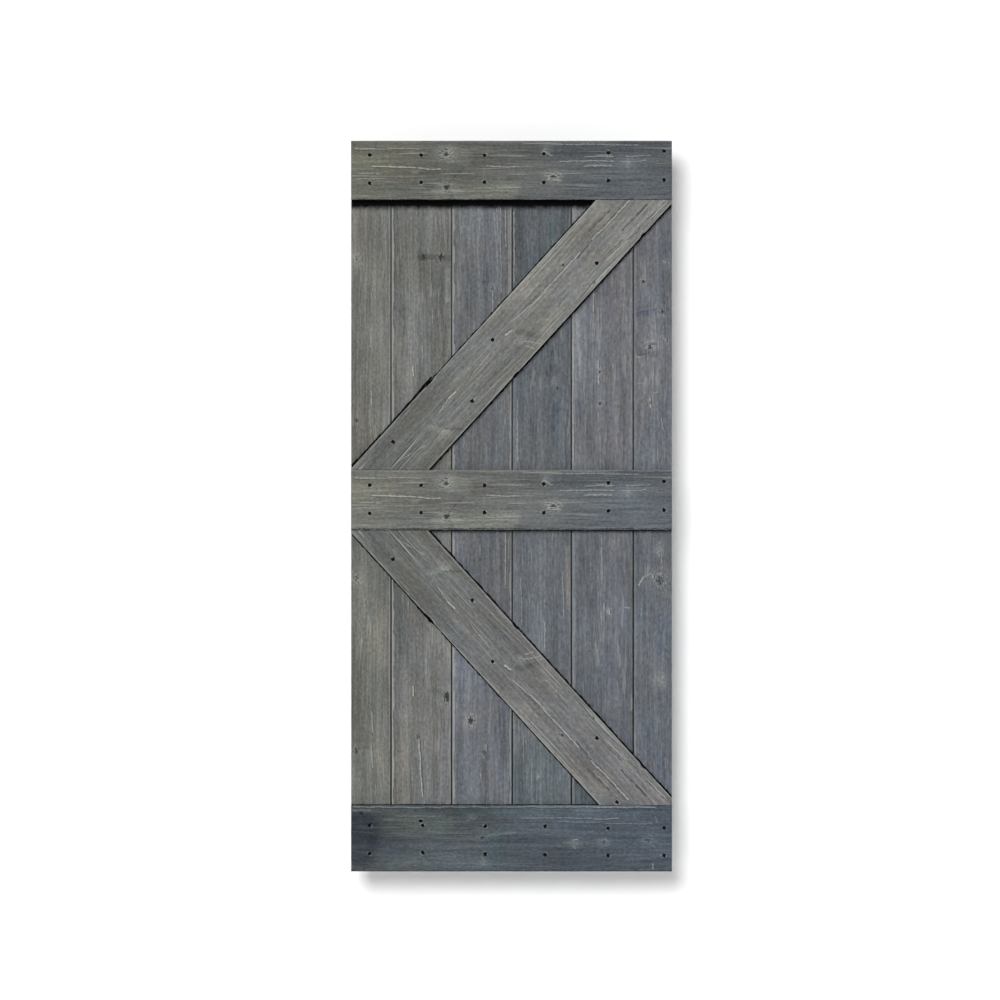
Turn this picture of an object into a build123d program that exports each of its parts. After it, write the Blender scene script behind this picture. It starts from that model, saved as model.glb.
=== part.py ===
from build123d import *
from math import asin, atan2, cos, degrees, hypot, sin
import os

os.makedirs("parts", exist_ok=True)

# A one-sided K-brace barn door leaf in pine. Six upright tongue-and-groove
# boards make the panel. Three rails and two diagonal braces are screwed to
# its front face. Sizes are in millimetres.
# Frame: +Z up, the braced front faces -Y, +X is to the right seen from the front.
# The origin is the centre of the top rail's front face, where hanger straps bolt on.

# Panel boards, left to right seen from the front. The widths are what shows,
# from one seam's middle to the next. The two edge boards are ripped to bring
# the door to its width, the left one this much wider than the right one.
door_width = 937.0
board_length = 2134.0
board_thickness = 19.0
second_board_width = 177.0
third_board_width = 177.0
fourth_board_width = 173.0
fifth_board_width = 181.0
edge_board_difference = 5.0

# Tongue-and-groove joint: the tongue is on each board's left edge
tongue_thickness = 6.0
tongue_reach = 7.0
tongue_cheek_clearance = 0.2
tongue_tip_clearance = 1.0
seam_gap = 0.8
seam_bevel = 3.0

# Rails. The middle rail's height is that of its lower edge above the door's bottom.
rail_thickness = 19.0
top_rail_width = 172.0
middle_rail_width = 176.0
bottom_rail_width = 193.5
middle_rail_height = 996.5

# Braces. Each runs from the middle rail's left end to the right end of the
# rail above or below it. Its two long points are cut blunt along the door's
# edges, by these heights.
brace_thickness = 19.0
brace_width = 170.0
brace_end_clearance = 0.6
upper_brace_left_blunt = 4.0
upper_brace_right_blunt = 10.0
lower_brace_left_blunt = 6.5
lower_brace_right_blunt = 20.5

# Eased edges
door_edge_ease = 1.5
rail_edge_ease = 1.5
brace_edge_ease = 1.2

# Seats of the self-boring screws: the head was driven below the surface and
# left a straight mouth over a cone. The shank fills the hole that it cut.
head_diameter = 8.6
head_sink = 1.2
head_cone_depth = 4.0
cutter_overrun = 0.5

# Two rows of screws on each rail, one pair to a board. They were driven by
# hand, so each strays to the right of its board's middle, or up from its row.
# The outer pairs are set in from the door's edges.
row_spacing = 82.0
left_column_inset = 54.5
right_column_inset = 23.0
top_rail_row_lift = 4.0
middle_rail_row_lift = 3.0
bottom_rail_row_lift = -3.0
field_column_strays = [-1.0, 7.5, 5.0, 17.0]
upper_row_strays = [0.0, -0.5, -1.0, 3.5, 6.0, 11.0]
lower_row_strays = [-1.0, 1.0, 2.0, 1.5, 7.0, 9.0]
bottom_rail_column_strays = [3.5, 9.5, 9.0, 16.0]
bottom_rail_upper_strays = [0.0, 0.0, -3.0, -2.5, -9.0, -7.5]
bottom_rail_lower_strays = [0.0, 2.0, -1.5, -3.0, -6.0, -5.5]

# One spare screw stands above this board's upper one in the bottom rail
spare_screw_board = "second_board"
spare_screw_shift_x = -5.5
spare_screw_shift_z = 12.5

# Brace screws: the board that each one bites, how far it strays to the right
# of that board's middle, and how far off the brace's centre line it lies,
# positive on the side that faces the door's left edge
brace_screws = [
    ("second_board", -83.0, 47.0),
    ("third_board", -29.0, -43.0),
    ("third_board", 31.0, 33.0),
    ("fifth_board", -17.0, -41.0),
]
lower_brace_end_screw = ("fifth_board", 42.5, 41.0)

# Chips out of each brace's long edges: the board in front of which one lies,
# how far it strays to the right of that board's middle, its side of the brace
# (1 faces the door's left edge), and its length along the edge
chip_depth = 3.0
brace_chips = [
    ("second_board", 23.0, 1, 40.0),
    ("fourth_board", -77.5, -1, 28.0),
    ("right_edge_board", -29.0, -1, 25.0),
]

# Boards by name, and where each lies across the door
field_board_widths = {
    "second_board": second_board_width,
    "third_board": third_board_width,
    "fourth_board": fourth_board_width,
    "fifth_board": fifth_board_width,
}
mean_edge_width = (door_width - sum(field_board_widths.values())) / 2
board_widths = {
    "left_edge_board": mean_edge_width + edge_board_difference / 2,
    **field_board_widths,
    "right_edge_board": mean_edge_width - edge_board_difference / 2,
}
door_left = -door_width / 2
door_right = door_width / 2
door_top = top_rail_width / 2
door_bottom = door_top - board_length

# Depths, from the rails' front face at Y = 0 to the back of the boards
board_front = rail_thickness
board_back = board_front + board_thickness
board_middle = (board_front + board_back) / 2


class Rail:
    """A rail's lower and upper edges, and its rows of screws."""

    def __init__(self, name, low, width, lift, column_strays, upper_strays, lower_strays):
        self.name = name
        self.low = low
        self.high = low + width
        self.upper_row = low + width / 2 + lift + row_spacing / 2
        self.lower_row = self.upper_row - row_spacing
        self.column_strays = column_strays
        self.upper_strays = upper_strays
        self.lower_strays = lower_strays

    def columns(self):
        """Places of the screw pairs across the door."""
        strays = zip(field_board_widths, self.column_strays)
        field = [board_middles[name] + stray for name, stray in strays]
        return [door_left + left_column_inset, *field, door_right - right_column_inset]

    def screw_points(self):
        """Middles of the rail's screws as (x, z)."""
        points = []
        for x, upper, lower in zip(self.columns(), self.upper_strays, self.lower_strays):
            points.append((x, self.upper_row + upper))
            points.append((x, self.lower_row + lower))
        return points


top_rail = Rail(
    "top_rail",
    door_top - top_rail_width,
    top_rail_width,
    top_rail_row_lift,
    field_column_strays,
    upper_row_strays,
    lower_row_strays,
)
middle_rail = Rail(
    "middle_rail",
    door_bottom + middle_rail_height,
    middle_rail_width,
    middle_rail_row_lift,
    field_column_strays,
    upper_row_strays,
    lower_row_strays,
)
bottom_rail = Rail(
    "bottom_rail",
    door_bottom,
    bottom_rail_width,
    bottom_rail_row_lift,
    bottom_rail_column_strays,
    bottom_rail_upper_strays,
    bottom_rail_lower_strays,
)


def board_spans():
    """Left and right of every board by name, from seam middle to seam middle."""
    spans = {}
    left = door_left
    for name, width in board_widths.items():
        spans[name] = (left, left + width)
        left += width
    return spans


spans = board_spans()
board_middles = {name: (left + right) / 2 for name, (left, right) in spans.items()}


def board_outline(left, right, is_first, is_last):
    """Corners of a board's cross-section, seen from above, front left first."""
    tongue_half = tongue_thickness / 2
    groove_half = tongue_half + tongue_cheek_clearance
    groove_depth = tongue_reach + tongue_tip_clearance
    left_face = left if is_first else left + seam_gap / 2
    right_face = right if is_last else right - seam_gap / 2
    left_bevel = door_edge_ease if is_first else seam_bevel
    right_bevel = door_edge_ease if is_last else seam_bevel
    groove_floor = right_face - groove_depth
    tongue_tip = left_face - seam_gap - tongue_reach

    corners = [
        (left_face + left_bevel, board_front),
        (right_face - right_bevel, board_front),
        (right_face, board_front + right_bevel),
    ]
    if not is_last:
        corners += [
            (right_face, board_middle - groove_half),
            (groove_floor, board_middle - groove_half),
            (groove_floor, board_middle + groove_half),
            (right_face, board_middle + groove_half),
        ]
    corners += [
        (right_face, board_back - right_bevel),
        (right_face - right_bevel, board_back),
        (left_face + left_bevel, board_back),
        (left_face, board_back - left_bevel),
    ]
    if not is_first:
        corners += [
            (left_face, board_middle + tongue_half),
            (tongue_tip, board_middle + tongue_half),
            (tongue_tip, board_middle - tongue_half),
            (left_face, board_middle - tongue_half),
        ]
    corners.append((left_face, board_front + left_bevel))
    return corners


class Brace:
    """A brace's line in the panel between the middle rail and an outer rail."""

    def __init__(self, name, rail_edge, outer_edge, left_blunt, right_blunt, screws):
        self.name = name
        self.upward = 1 if outer_edge > rail_edge else -1
        self.low = min(rail_edge, outer_edge) + brace_end_clearance
        self.high = max(rail_edge, outer_edge) - brace_end_clearance
        start_height = rail_edge + self.upward * left_blunt
        end_height = outer_edge - self.upward * right_blunt
        rise = abs(end_height - start_height)
        diagonal = hypot(door_width, rise)
        slope = atan2(rise, door_width) + asin(brace_width / diagonal)
        self.along = Vector(cos(slope), self.upward * sin(slope))
        self.across = Vector(-sin(slope), self.upward * cos(slope))
        self.middle = Vector(0, (start_height + end_height) / 2)
        self.turn = self.upward * degrees(slope)
        self.reach = 2 * diagonal
        self.screws = screws

    def outline(self):
        """The brace's face: a straight strip cut off by rails and door edges."""
        strip = Pos(self.middle.X, self.middle.Y) * Rot(0, 0, self.turn)
        strip = strip * Rectangle(self.reach, brace_width)
        panel = Pos(0, (self.low + self.high) / 2) * Rectangle(door_width, self.high - self.low)
        return strip & panel

    def point(self, board, stray, offset):
        """Where a line beside the centre line, offset across it, passes a board."""
        x = board_middles[board] + stray
        beside = self.middle + self.across * offset
        height = beside.Y + (x - beside.X) * self.along.Y / self.along.X
        return Vector(x, height)

    def screw_points(self):
        """Middles of the brace's screws as (x, z)."""
        spots = [self.point(*screw) for screw in self.screws]
        return [(spot.X, spot.Y) for spot in spots]

    def chip_circles(self):
        """Middle and radius of the circle that bites each chip out of an edge."""
        circles = []
        for board, stray, side, length in brace_chips:
            radius = length**2 / (8 * chip_depth) + chip_depth / 2
            spot = self.point(board, stray, side * brace_width / 2)
            circles.append((spot + self.across * side * (radius - chip_depth), radius))
        return circles


upper_brace = Brace(
    "upper_brace",
    middle_rail.high,
    top_rail.low,
    upper_brace_left_blunt,
    upper_brace_right_blunt,
    brace_screws,
)
lower_brace = Brace(
    "lower_brace",
    middle_rail.low,
    bottom_rail.high,
    lower_brace_left_blunt,
    lower_brace_right_blunt,
    brace_screws + [lower_brace_end_screw],
)


def screw_seats(points, front):
    """Cutters for screw seats, one at each (x, z), in a face at depth front."""
    radius = head_diameter / 2
    outline = [
        (0, -cutter_overrun),
        (radius, -cutter_overrun),
        (radius, head_sink),
        (0, head_sink + head_cone_depth),
    ]
    seat = revolve(make_face(Polyline(outline, close=True)), Axis.Y)
    return [Pos(x, front, z) * seat for x, z in points]


def make_board(name):
    """One upright board with its tongue, groove and bevels."""
    left, right = spans[name]
    order = list(spans)
    corners = board_outline(left, right, name == order[0], name == order[-1])
    profile = Pos(0, 0, door_bottom) * make_face(Polyline(corners, close=True))
    return extrude(profile, amount=board_length, dir=(0, 0, 1))


def ease_front(solid, ease):
    """Round the edges of a solid's front face."""
    front_face = solid.faces().sort_by(Axis.Y)[0]
    return fillet(front_face.edges(), ease)


def make_rail(rail, screw_points):
    """A rail as long as the door is wide, with its screw seats."""
    height = rail.high - rail.low
    middle = Pos(0, rail_thickness / 2, (rail.high + rail.low) / 2)
    solid = ease_front(middle * Box(door_width, rail_thickness, height), rail_edge_ease)
    return solid - screw_seats(screw_points, 0)


def make_brace(brace, screw_points):
    """A diagonal brace that lies on the boards between two rails."""
    front = board_front - brace_thickness
    front_plane = Plane.XZ.offset(-front)
    solid = extrude(front_plane * brace.outline(), amount=-brace_thickness)
    solid = ease_front(solid, brace_edge_ease)
    for spot, radius in brace.chip_circles():
        circle = front_plane * Pos(spot.X, spot.Y) * Circle(radius)
        solid -= extrude(circle, amount=brace_thickness, both=True)
    return solid - screw_seats(screw_points, front)


# Screws of each rail and brace, with the spare one in the bottom rail
rails = (top_rail, middle_rail, bottom_rail)
braces = (upper_brace, lower_brace)
screws = {piece.name: piece.screw_points() for piece in (*rails, *braces)}
pairs_before = list(board_widths).index(spare_screw_board)
beside_x, beside_z = screws[bottom_rail.name][2 * pairs_before]
screws[bottom_rail.name].append((beside_x + spare_screw_shift_x, beside_z + spare_screw_shift_z))

# The pieces
pieces = {}
for name in board_widths:
    pieces[name] = make_board(name)
for rail in rails:
    pieces[rail.name] = make_rail(rail, screws[rail.name])
for brace in braces:
    pieces[brace.name] = make_brace(brace, screws[brace.name])

for name, solid in pieces.items():
    export_step(solid, f"parts/{name}.step")

print(f"door {door_width:.0f} x {board_length:.0f} x {board_back:.0f} mm")
print(f"brace slope {upper_brace.turn:.1f} and {lower_brace.turn:.1f} degrees")
print(f"{sum(map(len, screws.values()))} screws in {len(pieces)} pieces")
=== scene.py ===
# %% [markdown]
# A weathered barn door leaf: six upright boards, three rails and two braces.
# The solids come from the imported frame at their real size, in metres, with the
# braced front facing -Y. This lesson gives each plank its own weathered pine
# finish, puts 46 black screws in their seats, and lights the leaf softly.

import math
from collections import namedtuple

import bmesh
import bpy
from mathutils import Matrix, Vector


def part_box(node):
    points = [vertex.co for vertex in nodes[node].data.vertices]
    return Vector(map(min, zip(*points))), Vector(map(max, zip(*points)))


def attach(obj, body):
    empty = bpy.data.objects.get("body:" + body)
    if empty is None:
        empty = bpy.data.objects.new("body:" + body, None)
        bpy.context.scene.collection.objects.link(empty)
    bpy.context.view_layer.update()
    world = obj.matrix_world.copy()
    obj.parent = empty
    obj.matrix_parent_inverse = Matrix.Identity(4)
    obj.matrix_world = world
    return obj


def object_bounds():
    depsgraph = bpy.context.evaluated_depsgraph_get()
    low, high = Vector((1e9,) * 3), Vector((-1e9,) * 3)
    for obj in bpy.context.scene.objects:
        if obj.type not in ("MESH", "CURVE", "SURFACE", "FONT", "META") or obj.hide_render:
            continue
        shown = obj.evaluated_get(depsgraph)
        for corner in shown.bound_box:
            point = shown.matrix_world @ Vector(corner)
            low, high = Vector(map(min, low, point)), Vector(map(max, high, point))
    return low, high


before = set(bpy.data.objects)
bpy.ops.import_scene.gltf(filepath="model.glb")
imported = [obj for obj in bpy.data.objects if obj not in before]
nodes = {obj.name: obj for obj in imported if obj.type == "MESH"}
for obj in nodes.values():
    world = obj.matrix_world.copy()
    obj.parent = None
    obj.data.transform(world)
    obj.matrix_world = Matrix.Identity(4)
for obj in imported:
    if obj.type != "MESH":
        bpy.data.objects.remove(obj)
cad_low, cad_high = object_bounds()
MM = 0.001
print("planks:", ", ".join(sorted(nodes)))

# %% [markdown]
# The door is seen square on. Its place in the picture is known from its height
# and centre there, so the camera's distance follows from the lens. A long lens
# keeps the edges parallel, as they are in the photograph. The camera comes
# first, because every later choice is judged through it.

# %% Camera
PICTURE_SIDE = 1000
DOOR_HEIGHT_IN_PICTURE = 730.7
DOOR_RIGHT_OF_CENTRE = 11.5
DOOR_BELOW_CENTRE = 6.1
LENS_MM = 250

door_size = cad_high - cad_low
door_centre = (cad_low + cad_high) / 2
metres_a_pixel = door_size.z / DOOR_HEIGHT_IN_PICTURE


def add_object(name, data):
    """A new object in the scene that shows this data."""
    made = bpy.data.objects.new(name, data)
    bpy.context.scene.collection.objects.link(made)
    return made


camera_data = bpy.data.cameras.new("photo_camera")
camera_data.lens = LENS_MM
camera = add_object("photo_camera", camera_data)
bpy.context.scene.camera = camera
distance = PICTURE_SIDE * metres_a_pixel * LENS_MM / camera_data.sensor_width
camera.location = (
    door_centre.x - DOOR_RIGHT_OF_CENTRE * metres_a_pixel,
    cad_low.y - distance,
    door_centre.z + DOOR_BELOW_CENTRE * metres_a_pixel,
)
camera.rotation_euler = (math.radians(90), 0, 0)
camera_data.clip_end = 100
print(f"camera stands {distance:.2f} m in front of the door")

# %% [markdown]
# Node trees are long to write by hand. This small helper adds a node, and feeds
# each input either a wire from another node or a plain number, whichever it is
# given. Every finish below is built with it. Four more helpers start a group,
# place one in a tree, start a material with its shader, and add a bump.

# %% Wiring helpers
class Wires:
    """Adds nodes to one tree and wires them."""

    ROW = 10

    def __init__(self, tree):
        self.tree = tree
        self.count = 0

    def node(self, kind, **settings):
        made = self.tree.nodes.new(kind)
        made.location = (230 * (self.count % self.ROW), -280 * (self.count // self.ROW))
        self.count += 1
        for key, value in settings.items():
            setattr(made, key, value)
        return made

    def feed(self, socket, value):
        if isinstance(value, bpy.types.NodeSocket):
            self.tree.links.new(value, socket)
        else:
            socket.default_value = value

    def math(self, operation, *values):
        made = self.node("ShaderNodeMath", operation=operation)
        for socket, value in zip(made.inputs, values):
            self.feed(socket, value)
        return made.outputs[0]

    def plus(self, first, second):
        return self.math("ADD", first, second)

    def less(self, first, second):
        return self.math("SUBTRACT", first, second)

    def times(self, first, second):
        return self.math("MULTIPLY", first, second)

    def over(self, first, second):
        return self.math("DIVIDE", first, second)

    def larger(self, first, second):
        return self.math("MAXIMUM", first, second)

    def times_plus(self, first, second, third):
        return self.math("MULTIPLY_ADD", first, second, third)

    def vector(self, operation, first, second):
        made = self.node("ShaderNodeVectorMath", operation=operation)
        self.feed(made.inputs[0], first)
        self.feed(made.inputs[1], second)
        return made.outputs["Value" if operation in ("DOT_PRODUCT", "DISTANCE") else "Vector"]

    def split(self, vector):
        made = self.node("ShaderNodeSeparateXYZ")
        self.feed(made.inputs[0], vector)
        return made.outputs

    def join(self, x, y, z):
        made = self.node("ShaderNodeCombineXYZ")
        for socket, value in zip(made.inputs, (x, y, z)):
            self.feed(socket, value)
        return made.outputs[0]

    def ease(self, value, start, end, low=0.0, high=1.0):
        """Goes smoothly from low at start to high at end, and stays there."""
        made = self.node("ShaderNodeMapRange", interpolation_type="SMOOTHSTEP")
        for socket, given in zip(made.inputs, (value, start, end, low, high)):
            self.feed(socket, given)
        return made.outputs[0]

    def noise(self, vector, stretch, detail=2.0, roughness=0.5):
        """Noise that is finer along an axis with a larger stretch, in cells a metre."""
        made = self.node("ShaderNodeTexNoise")
        self.feed(made.inputs["Vector"], self.vector("MULTIPLY", vector, stretch))
        made.inputs["Scale"].default_value = 1.0
        made.inputs["Detail"].default_value = detail
        made.inputs["Roughness"].default_value = roughness
        return made.outputs["Fac"]

    def blend(self, factor, first, second, how="MIX"):
        """Mixes two colours."""
        made = self.node("ShaderNodeMix", data_type="RGBA", blend_type=how)
        self.feed(made.inputs[0], factor)
        self.feed(made.inputs[6], first)
        self.feed(made.inputs[7], second)
        return made.outputs[2]


def new_group(name, vectors, floats, results):
    """An empty node group with named sockets, its helper and its two end nodes."""
    tree = bpy.data.node_groups.new(name, "ShaderNodeTree")
    for names, way, kind in (
        (vectors, "INPUT", "NodeSocketVector"),
        (floats, "INPUT", "NodeSocketFloat"),
        (results, "OUTPUT", "NodeSocketFloat"),
    ):
        for socket_name in names:
            tree.interface.new_socket(socket_name, in_out=way, socket_type=kind)
    wires = Wires(tree)
    return wires, wires.node("NodeGroupInput").outputs, wires.node("NodeGroupOutput").inputs


def use_group(wires, name, **values):
    """Places a finished group in a tree and gives back its outputs."""
    made = wires.node("ShaderNodeGroup", node_tree=bpy.data.node_groups[name])
    for key, value in values.items():
        wires.feed(made.inputs[key.replace("_", " ")], value)
    return made.outputs


def new_finish(name):
    """An empty material, its shader and its helper."""
    material = bpy.data.materials.new(name)
    material.use_nodes = True
    return material, material.node_tree.nodes["Principled BSDF"], Wires(material.node_tree)


def add_bump(wires, shader, height, strength, distance):
    """Raises a shader's surface by a height of 0 to 1."""
    bump = wires.node("ShaderNodeBump")
    bump.inputs["Strength"].default_value = strength
    bump.inputs["Distance"].default_value = distance
    wires.feed(bump.inputs["Height"], height)
    wires.feed(shader.inputs["Normal"], bump.outputs["Normal"])


print("helpers ready")

# %% [markdown]
# Wood grain follows the plank, not the room. So each finish first turns the
# object's coordinates into the plank's own: how far along the grain, how deep
# below the front, and how far across the face. Two dot products do that for an
# upright board, a flat rail and a slanted brace alike. Object coordinates are
# used, because they are metres on the real door.

# %% Plank space group
wires, given, result = new_group(
    "Plank Space",
    ("Origin", "Grain", "Face"),
    (),
    ("Along", "Depth", "Across"),
)
place = wires.node("ShaderNodeTexCoord").outputs["Object"]
from_origin = wires.vector("SUBTRACT", place, given["Origin"])
wires.feed(result["Along"], wires.vector("DOT_PRODUCT", from_origin, given["Grain"]))
wires.feed(result["Depth"], wires.split(from_origin)[1])
wires.feed(result["Across"], wires.vector("DOT_PRODUCT", from_origin, given["Face"]))
print("group made: Plank Space")

# %% [markdown]
# A knot is the root of a branch. The grain parts round it like water round a
# stone, so this group says how far to push the grain aside at each point. It
# also gives a mask of the knot itself with a crumbled rim, a mask of the pale
# specks where its hard wood tore, and a wide soft mask of the wood around it.

# %% Knot group
KNOT_PUSH = 0.7
KNOT_STRETCH = 1.4
RIM_CRUMBLE = 3.0
CORE_RIM = (1.1, 0.5)
PIT_RIM = (0.16, 0.22)
SPECK_RIM = (0.08, 0.24)

wires, given, result = new_group(
    "Knot",
    ("Place", "Centre"),
    ("Radius", "Spread", "Crumble"),
    ("Push", "Core", "Specks", "Halo"),
)
beyond, _, beside = wires.split(wires.vector("SUBTRACT", given["Place"], given["Centre"]))
long_share = wires.over(wires.over(beyond, KNOT_STRETCH), given["Spread"])
wide_share = wires.over(beside, given["Spread"])
far_squared = wires.times(long_share, long_share)
far_squared = wires.times_plus(wide_share, wide_share, far_squared)
halo = wires.math("EXPONENT", wires.times(far_squared, -1.0))
wires.feed(result["Halo"], halo)
wires.feed(result["Push"], wires.times(wires.times(beside, halo), KNOT_PUSH))
out = wires.times(wires.math("SQRT", far_squared), given["Spread"])
share = wires.over(out, given["Radius"])
crumble = wires.less(given["Crumble"], 0.5)
core = wires.ease(wires.times_plus(crumble, RIM_CRUMBLE, share), *CORE_RIM)
pits = wires.ease(wires.times_plus(halo, 0.1, wires.times(crumble, -1.0)), *PIT_RIM)
pits = wires.times(pits, wires.ease(halo, 0.3, 0.7))
wires.feed(result["Core"], wires.larger(core, pits))
specks = wires.ease(wires.times_plus(halo, 0.12, crumble), *SPECK_RIM)
wires.feed(result["Specks"], wires.times(specks, wires.ease(halo, 0.12, 0.5)))
print("group made: Knot")

# %% [markdown]
# Old planed wood carries marks that run in lines: a raised splinter, pale from rubbing and from a painted
# highlight, a crack, a band of stain. One group draws any of them as a crumbled stroke between two points,
# and gives the strip beside it as well, where a raised splinter gets a painted shadow.

# %% Stroke group
STROKE_RIM = (1.2, 0.5)
BESIDE_SHIFT = -1.7

wires, given, result = new_group(
    "Stroke",
    ("Place", "Start", "End"),
    ("Half Width", "Crumble", "Raggedness"),
    ("Mask", "Beside"),
)
run = wires.vector("SUBTRACT", given["End"], given["Start"])
from_start = wires.vector("SUBTRACT", given["Place"], given["Start"])
run_squared = wires.vector("DOT_PRODUCT", run, run)
share = wires.over(wires.vector("DOT_PRODUCT", from_start, run), run_squared)
share = wires.math("MINIMUM", wires.larger(share, 0.0), 1.0)
reached = wires.vector("MULTIPLY", run, wires.join(share, share, share))
miss = wires.vector("SUBTRACT", from_start, reached)
uneven = wires.times(wires.less(given["Crumble"], 0.5), given["Raggedness"])


def stroke_mask(wires, miss):
    """1 on the line, 0 beyond its half width, with a crumbled edge."""
    gap = wires.vector("DISTANCE", miss, (0.0, 0.0, 0.0))
    gap = wires.plus(wires.over(gap, given["Half Width"]), uneven)
    return wires.ease(gap, *STROKE_RIM)


mask = stroke_mask(wires, miss)
wires.feed(result["Mask"], mask)
# The strip beside the stroke, used as a pale splinter's painted shadow.
aside = wires.join(0.0, 0.0, wires.times(given["Half Width"], BESIDE_SHIFT))
beside = stroke_mask(wires, wires.vector("ADD", miss, aside))
wires.feed(result["Beside"], wires.larger(wires.less(beside, mask), 0.0))


def stroke(wires, place, start, end, half_width, crumble, raggedness):
    """Places the stroke group in a tree and gives back its outputs."""
    return use_group(
        wires,
        "Stroke",
        Place=place,
        Start=start,
        End=end,
        Half_Width=half_width,
        Crumble=crumble,
        Raggedness=raggedness,
    )


print("group made: Stroke")

# %% [markdown]
# Pine that has stood outside shows several layers at once: patches as wide as a
# hand, streaks as wide as a pencil, growth rings that wander along the board,
# fine fibres, and flecks where the soft wood has crumbled. Each is noise that
# is stretched along the grain, at its own scale, so that they can be weighed
# one against another.

# %% Pine grain group
PATCH_CELLS = (3.6, 9.0, 10.0)
STREAK_CELLS = (2.4, 30.0, 52.0)
DRIFT_CELLS = (1.3, 10.0, 9.0)
FIBRE_CELLS = (16.0, 150.0, 250.0)
FLECK_CELLS = (95.0, 110.0, 170.0)
HUE_CELLS = (6.0, 9.0, 16.0)
SEED_STEPS = (3.17, 1.31, 2.23)
RING_TURN = 520.0
RING_DRIFT = 46.0
RING_SHARPNESS = 1.8

wires, given, result = new_group(
    "Pine Grain",
    ("Place", "Bent Place"),
    ("Seed",),
    ("Patch", "Streak", "Ring", "Fibre", "Fleck", "Hue"),
)
seeds = wires.join(*[wires.times(given["Seed"], step) for step in SEED_STEPS])
spot = wires.vector("ADD", given["Place"], seeds)
bent_spot = wires.vector("ADD", given["Bent Place"], seeds)
for layer, layer_place, cells, roughness in (
    ("Patch", spot, PATCH_CELLS, 0.5),
    ("Streak", bent_spot, STREAK_CELLS, 0.6),
    ("Fibre", spot, FIBRE_CELLS, 0.7),
    ("Fleck", spot, FLECK_CELLS, 0.7),
):
    wires.feed(result[layer], wires.noise(layer_place, cells, detail=2.0, roughness=roughness))
wires.feed(result["Hue"], wires.noise(spot, HUE_CELLS, detail=1.0))
drift = wires.noise(bent_spot, DRIFT_CELLS, detail=1.0)
ring_place = wires.times(wires.split(bent_spot)[2], RING_TURN)
ring_phase = wires.times_plus(drift, RING_DRIFT, ring_place)
ring_wave = wires.times_plus(wires.math("SINE", ring_phase), 0.5, 0.5)
wires.feed(result["Ring"], wires.math("POWER", ring_wave, RING_SHARPNESS))
print("group made: Pine Grain")

# %% [markdown]
# Where a plane tears the surface it lifts splinters, pale on top from rubbing and a painted highlight,
# with a dark line beneath that is partly a crack and partly a painted shadow. They come in crowds, so one
# broad noise says where they may be, and a fine one, read twice a few millimetres apart, draws the pale
# splinter and its line. Rails have more of them than boards.

# %% Splinter group
CROWD_CELLS = (1.0, 1.0, 22.0)
SPLINTER_CELLS = (1.0, 1.0, 120.0)
SPLINTER_SHADOW = 2.6 * MM
SPLINTER_SEED_STEP = 4.71
CROWD_RIM = (0.45, 0.7)
PALE_RIM = (0.58, 0.66)
DARK_RIM = (0.58, 0.68)

wires, given, result = new_group(
    "Splinters",
    ("Place",),
    ("Seed", "Length", "Crowding"),
    ("Pale", "Dark"),
)
along, _, across = wires.split(given["Place"])
seed_shift = wires.times(given["Seed"], SPLINTER_SEED_STEP)
stretched = wires.over(along, given["Length"])
crowd_spot = wires.join(wires.times(stretched, 0.25), seed_shift, across)
crowd = wires.noise(crowd_spot, CROWD_CELLS, detail=1.0)
crowd = wires.ease(wires.plus(crowd, given["Crowding"]), *CROWD_RIM)


def splinter_noise(wires, shift):
    """The fine noise at a point that is moved across the grain."""
    spot = wires.join(stretched, seed_shift, wires.plus(across, shift))
    return wires.noise(spot, SPLINTER_CELLS, detail=1.0, roughness=0.55)


pale = wires.ease(splinter_noise(wires, 0.0), *PALE_RIM)
# The line read a few millimetres over is partly a crack and partly the splinter's painted shadow.
under = wires.ease(splinter_noise(wires, -SPLINTER_SHADOW), *DARK_RIM)
under = wires.larger(wires.less(under, pale), 0.0)
wires.feed(result["Pale"], wires.times(pale, crowd))
wires.feed(result["Dark"], wires.times(under, crowd))
print("group made: Splinters")

# %% [markdown]
# Where a plank is sawn across, its rings show as arcs about the heart of the
# tree, which lay some way behind the board. The side views show these ends on
# every rail, and the top view on every board, so they get their own pattern.

# %% End grain group
HEART_DEPTH = 0.14
END_RING_STEP = 1900.0
WOBBLE_CELLS = (1.0, 90.0, 90.0)
SPLIT_CELLS = (1.0, 60.0, 420.0)

wires, given, result = new_group(
    "End Grain",
    ("Place",),
    ("Heart Across", "Seed"),
    ("Rings", "Checks"),
)
_, depth, across = wires.split(given["Place"])
level = wires.join(given["Seed"], depth, across)
heart = wires.join(given["Seed"], HEART_DEPTH, given["Heart Across"])
from_heart = wires.vector("DISTANCE", level, heart)
wobble = wires.noise(level, WOBBLE_CELLS, detail=1.0)
phase = wires.times_plus(wobble, 5.0, wires.times(from_heart, END_RING_STEP))
wires.feed(result["Rings"], wires.times_plus(wires.math("SINE", phase), 0.5, 0.5))
splits = wires.noise(level, SPLIT_CELLS, detail=1.0)
wires.feed(result["Checks"], wires.ease(splits, 0.38, 0.3))
print("group made: End Grain")

# %% [markdown]
# Hands and weather rub a plank's arrises pale, and the arrises that face the lamp at the upper left are
# lightened further as a painted highlight. Dirt and painted shade darken the V of a seam deeper down, most
# on its side turned away from the lamp. Both depend on how far a point lies from the edge of the flat
# face, so one group measures that on both sides. Each edge has its own amounts, because the left side of a
# board faces the lamp and mostly gets more painted highlight than its right.

# %% Arris group
BAND_WIDTHS = (0.0012, 0.0052)
RUB_RIM = (0.001, -0.0006)
FACE_RIM = (0.0042, 0.0022)
LOW_SEAM_RIM = (-0.0010, -0.0024)
HIGH_SEAM_RIM = (0.0, -0.0016)

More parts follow.
